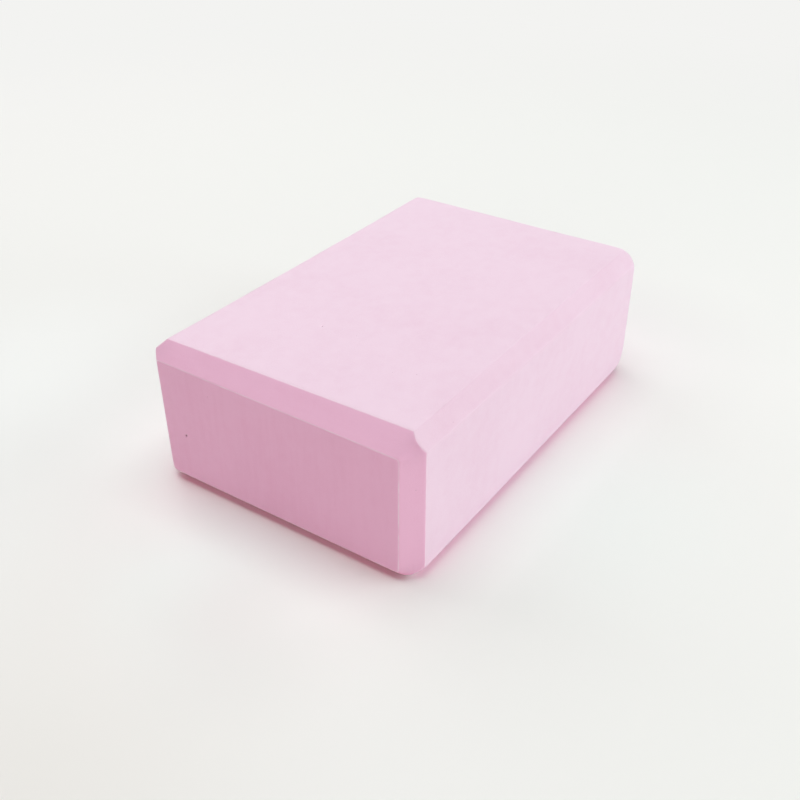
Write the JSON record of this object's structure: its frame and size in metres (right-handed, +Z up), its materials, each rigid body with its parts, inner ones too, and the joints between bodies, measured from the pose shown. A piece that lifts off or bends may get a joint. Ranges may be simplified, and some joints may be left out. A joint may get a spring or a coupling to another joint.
{
  "type": "yoga block",
  "caption": "Flat rectangular foam yoga block with a mitred chamfer along every edge and softly rounded cut lines.",
  "frame": {"origin": "centre of the large flat face that the block rests on, at the bottom of the bounding box", "axes": "+X along the length, +Y along the width, +Z up through the thickness"},
  "size_m": [0.2286, 0.1524, 0.0762],
  "materials": {
    "foam": "matte"
  },
  "bodies": {
    "root": {"foam_block": "foam"}
  },
  "joints": []
}
